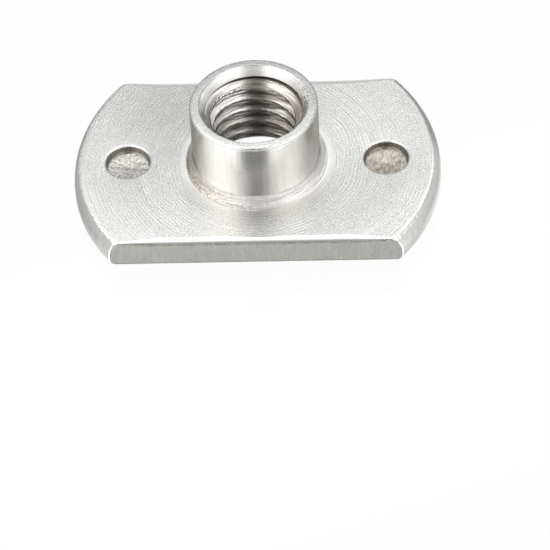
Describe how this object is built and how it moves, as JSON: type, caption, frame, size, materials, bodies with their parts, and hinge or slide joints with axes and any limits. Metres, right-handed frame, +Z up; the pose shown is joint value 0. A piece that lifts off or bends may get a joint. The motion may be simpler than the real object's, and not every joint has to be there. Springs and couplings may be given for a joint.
{
  "type": "projection weld nut",
  "caption": "Weld nut with a threaded barrel on a round flange cut to parallel flats, with punched weld projections under the flange.",
  "frame": {"origin": "on the thread's axis, in the plane of the weld projections' tips", "axes": "+Z up the barrel along the thread's axis, +X along the flange's long direction through both weld projections, +Y across the flats"},
  "size_m": [0.03, 0.0186, 0.0096],
  "materials": {
    "bright_steel": "bright cold-headed steel, uncoated, satin with fine tool marks"
  },
  "bodies": {
    "root": {"weld_nut": "bright_steel"}
  },
  "joints": []
}
